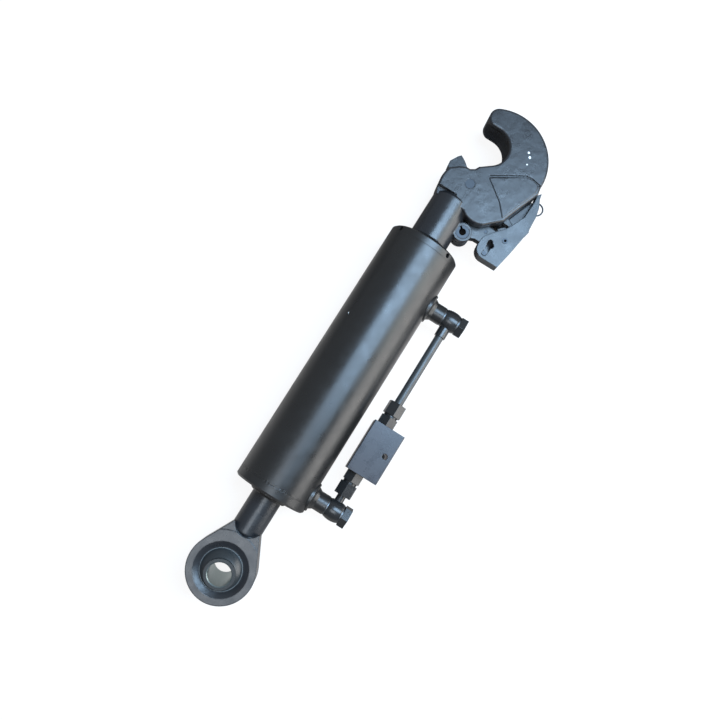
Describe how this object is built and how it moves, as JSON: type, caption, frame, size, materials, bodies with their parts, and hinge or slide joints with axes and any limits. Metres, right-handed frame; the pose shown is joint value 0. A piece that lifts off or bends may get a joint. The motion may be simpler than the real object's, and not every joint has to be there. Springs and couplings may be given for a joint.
{
  "type": "tractor top link",
  "caption": "Hydraulic tractor top link: double-acting cylinder with a ball eye, a latching catch hook with a release lever, and a piped lock valve.",
  "frame": {"origin": "centre of the ball in the eye", "axes": "+X runs along the link from the eye to the hook, +Z along the pin of the eye, and the hook's mouth opens to +Y"},
  "size_m": [0.6464, 0.1384, 0.085],
  "materials": {
    "barrel_paint": "satin black paint",
    "forging_paint": "satin slate paint on a forging",
    "lever_paint": "satin slate paint on pressed steel",
    "fitting_finish": "black passivated steel",
    "ball_steel": "dark hardened steel",
    "rod_chrome": "hard chrome",
    "machined_steel": "turned steel",
    "pin_steel": "dark oiled steel",
    "spring_steel": "spring wire",
    "seal_rubber": "moulded seal",
    "guide_plastic": "filled guide strip"
  },
  "bodies": {
    "barrel": {"eye_end": "forging_paint", "base_cap": "barrel_paint", "barrel_tube": "barrel_paint", "gland_head": "barrel_paint", "rod_seal": "seal_rubber", "rod_guide_ring": "guide_plastic", "rod_wiper": "seal_rubber", "gland_o_ring": "seal_rubber", "port_boss_base": "barrel_paint", "port_boss_head": "barrel_paint", "banjo_base": "fitting_finish", "banjo_head": "fitting_finish", "banjo_bolt_base": "fitting_finish", "banjo_bolt_head": "fitting_finish", "banjo_washers": "machined_steel", "stud_adaptor_base": "fitting_finish", "stud_adaptor_tube": "fitting_finish", "cutting_ring_base": "machined_steel", "cutting_ring_tube": "machined_steel", "union_nut_base": "fitting_finish", "union_nut_tube": "fitting_finish", "steel_tube": "fitting_finish", "valve_block": "barrel_paint", "poppet_spring_base": "spring_steel", "poppet_spring_tube": "spring_steel"},
    "ball": {"ball": "ball_steel"},
    "piston_rings": {"piston_seal": "seal_rubber", "piston_guide_rings": "guide_plastic"},
    "rod": {"piston_rod": "rod_chrome", "piston": "machined_steel", "piston_nut": "machined_steel", "hook_body": "forging_paint", "roll_pin": "pin_steel", "park_pin": "pin_steel", "pawl_guide_pin": "pin_steel", "spring_post_hook": "pin_steel", "latch_spring": "spring_steel"},
    "lever": {"release_lever": "lever_paint", "lever_rocker": "lever_paint", "lever_rivet": "pin_steel", "drive_pin": "pin_steel", "spring_post_lever": "pin_steel"},
    "pawl": {"latch_pawl": "forging_paint"},
    "loop": {"pull_ring": "pin_steel"},
    "pilot": {"pilot_piston": "machined_steel"},
    "poppet_1": {"poppet_base": "machined_steel"},
    "poppet_2": {"poppet_tube": "machined_steel"}
  },
  "joints": [
    {"name": "rod_slide", "type": "slide", "parent": "barrel", "child": "piston_rings", "axis": [1, 0, 0], "range_m": [0, 0.2]},
    {"name": "rod_turn", "type": "hinge", "parent": "piston_rings", "child": "rod", "pos_m": [0.3, 0, 0], "axis": [1, 0, 0], "continuous": true},
    {"name": "ball_tilt", "type": "hinge", "parent": "barrel", "child": "ball", "pos_m": [0, 0, 0], "axis": [0.3584, -0.9336, 0], "range_deg": [-24.4, 5.6]},
    {"name": "lever_swing", "type": "hinge", "parent": "rod", "child": "lever", "pos_m": [0.4558, -0.0281, 0], "axis": [0, 0, 1], "range_deg": [-24, 0], "stiffness_Nm_per_rad": 1.15, "springref_deg": 5.96, "deforming": ["latch_spring"]},
    {"name": "pawl_slide", "type": "slide", "parent": "rod", "child": "pawl", "axis": [0.6947, 0.7193, 0], "range_m": [-0.0097, 0]},
    {"name": "loop_swing", "type": "hinge", "parent": "lever", "child": "loop", "pos_m": [0.5298, -0.0819, 0], "axis": [1, 0, 0], "range_deg": [-15, 15]},
    {"name": "pilot_slide", "type": "slide", "parent": "barrel", "child": "pilot", "axis": [1, 0, 0], "range_m": [-0.0029, 0.0029]},
    {"name": "poppet_lift_1", "type": "slide", "parent": "barrel", "child": "poppet_1", "axis": [-1, 0, 0], "range_m": [0, 0.0012], "stiffness_N_per_m": 500, "springref_m": -0.004, "deforming": ["poppet_spring_base"]},
    {"name": "poppet_lift_2", "type": "slide", "parent": "barrel", "child": "poppet_2", "axis": [1, 0, 0], "range_m": [0, 0.0012], "stiffness_N_per_m": 500, "springref_m": -0.004, "deforming": ["poppet_spring_tube"]}
  ],
  "couplings": [
    {"joint": "pawl_slide", "follows": "lever_swing", "m_per_rad": 0.022832}
  ]
}
